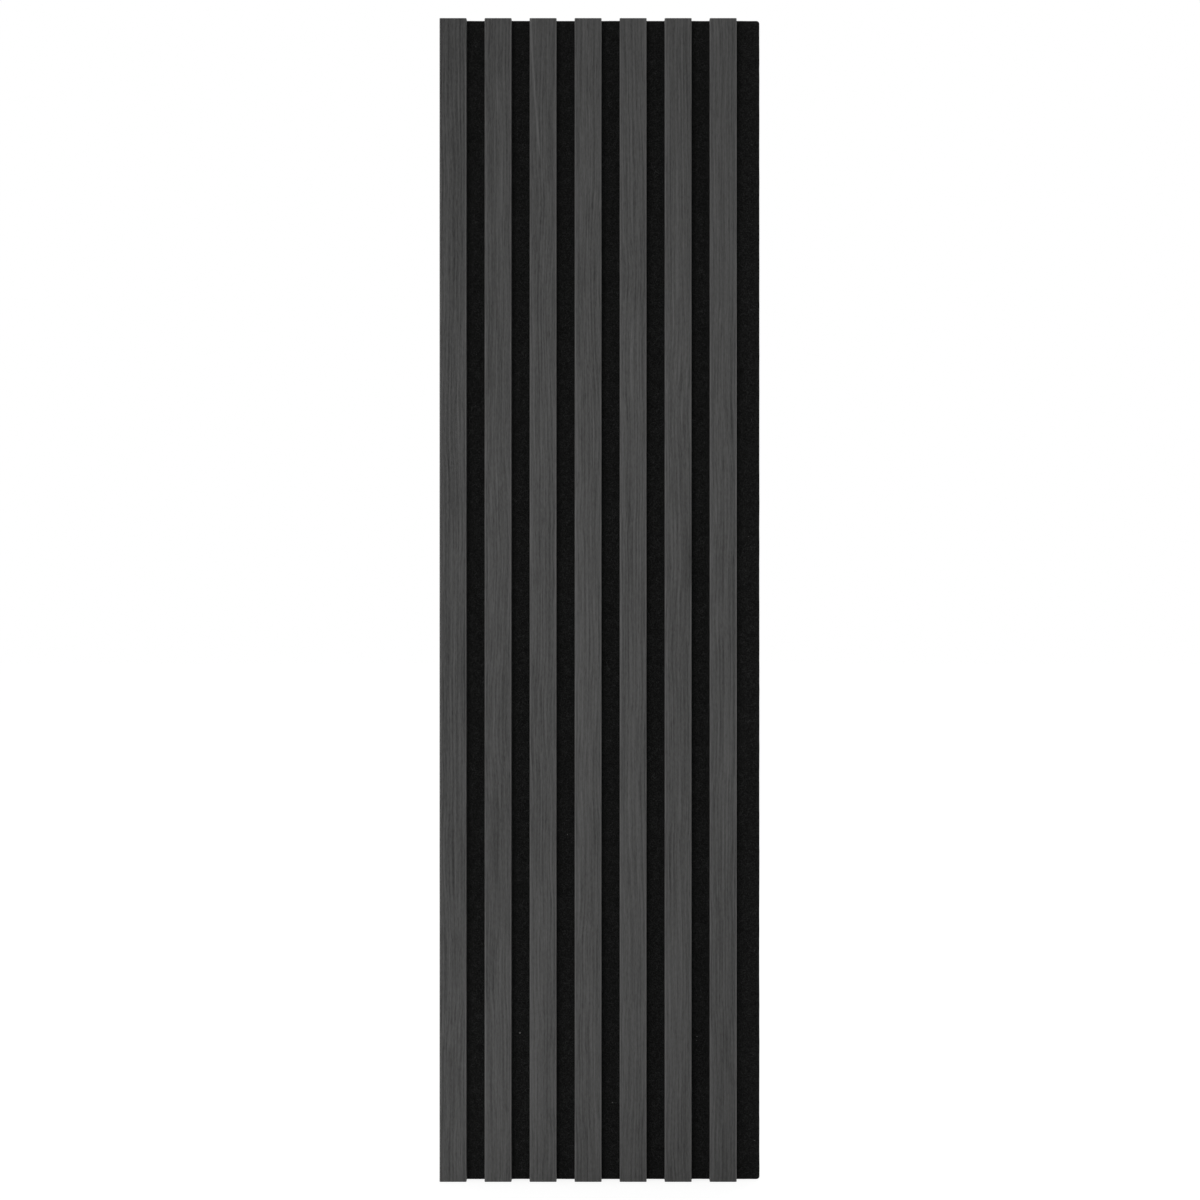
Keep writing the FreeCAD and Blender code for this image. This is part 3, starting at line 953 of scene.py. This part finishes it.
def end_ring(parts):
    """The edges among an operator's parts that join two vertices among them."""
    ends = set(verts_of(parts))
    return [edge for edge in edges_of(parts) if ends.issuperset(edge.verts)]


def draw_out(bm, ring, way):
    """Extrudes an open end of a tube and returns the new end."""
    drawn_parts = bmesh.ops.extrude_edge_only(bm, edges=ring)["geom"]
    bmesh.ops.translate(bm, vec=way, verts=verts_of(drawn_parts))
    return end_ring(drawn_parts)


def bend(bm, ring, centre):
    """Spins an open end of a tube through a right angle and returns the new end."""
    turned = bmesh.ops.spin(bm, geom=ring, cent=centre, axis=(0, 0, 1), angle=math.radians(-90),
                            steps=BEND_STEPS)
    return end_ring(turned["geom_last"])


def pinch(bm, ring):
    """Narrows an open end to an edge and closes it."""
    ends = list(dict.fromkeys(vert for edge in ring for vert in edge.verts))
    middle = sum((vert.co for vert in ends), Vector()) / len(ends)
    bmesh.ops.scale(bm, vec=(POINT_SHARE, 1, 1), space=Matrix.Translation(-middle), verts=ends)
    bmesh.ops.edgeloop_fill(bm, edges=ring)


print("wire tools ready")


# %% One staple
def bent_wire():
    """A mesh of one staple, its crown on the X axis with its back at nothing and its legs towards -Y."""
    leg_x = crown_width / 2 - WIRE_THICKNESS / 2
    leg_length = staple_high.y - staple_low.y
    straight_leg = leg_length - POINT_LENGTH - BEND_RADIUS
    bm = bmesh.new()
    bmesh.ops.create_grid(bm, x_segments=1, y_segments=1, size=0.5)
    bmesh.ops.scale(bm, vec=(WIRE_THICKNESS, WIRE_WIDTH, 1), verts=bm.verts)
    bmesh.ops.bevel(bm, geom=bm.verts[:], offset=CORNER_EASE, affect="VERTICES", segments=2, profile=0.5,
                    material=-1)
    bmesh.ops.delete(bm, geom=bm.faces[:], context="FACES_ONLY")
    bmesh.ops.rotate(bm, cent=(0, 0, 0), matrix=Matrix.Rotation(math.radians(90), 3, "X"), verts=bm.verts)
    bmesh.ops.translate(bm, vec=(-leg_x, -leg_length, 0), verts=bm.verts)
    first_end = bm.edges[:]
    ring = draw_out(bm, first_end, (0, POINT_LENGTH, 0))
    ring = draw_out(bm, ring, (0, straight_leg, 0))
    ring = bend(bm, ring, (-crown_width / 2 + BEND_RADIUS, -BEND_RADIUS, 0))
    ring = draw_out(bm, ring, (crown_width - 2 * BEND_RADIUS, 0, 0))
    ring = bend(bm, ring, (crown_width / 2 - BEND_RADIUS, -BEND_RADIUS, 0))
    ring = draw_out(bm, ring, (0, -straight_leg, 0))
    ring = draw_out(bm, ring, (0, -POINT_LENGTH, 0))
    pinch(bm, first_end)
    pinch(bm, ring)
    bmesh.ops.recalc_face_normals(bm, faces=bm.faces)
    mesh = bpy.data.meshes.new("bent_wire")
    bm.to_mesh(mesh)
    bm.free()
    return mesh


staple_shape = bent_wire()
print(f"a staple has {len(staple_shape.polygons)} faces")

# %% [markdown]
# The gun never drives two staples quite alike, so each is turned and sunk a little by chance. They are one
# piece, as they are one node of the solid model.

# %% Drive the staples
DRIVEN_DEEPER = 0.15 * MM
DRIVEN_TURN = math.radians(0.8)

bm = bmesh.new()
for x in slat_middles:
    for z in staple_rows:
        place = Vector((x, staple_high.y - random.uniform(0, DRIVEN_DEEPER), z))
        turn = Matrix.Rotation(random.gauss(0, DRIVEN_TURN), 4, "Y")
        staple = staple_shape.copy()
        staple.transform(Matrix.Translation(place) @ turn)
        bm.from_mesh(staple)
        bpy.data.meshes.remove(staple)
wire_staples = add_piece("wire_staples", bm, wire, ["staples"])
print(f"{len(staple_rows) * len(slats)} staples, {len(wire_staples.data.polygons)} faces")

# %% [markdown]
# The shape templates go, so that nothing but the panel is left. The size of the dressed panel is written
# beside that of the solids, to see that the looks stayed inside them.

# %% Sizes and finish
for shape in [*fibre_shapes, staple_shape]:
    bpy.data.meshes.remove(shape)
looks_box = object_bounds()
proud = [*(cad_box[0] - looks_box[0]), *(looks_box[1] - cad_box[1])]
print("proud of the solids by, in mm:", [round(amount / MM, 2) for amount in proud])
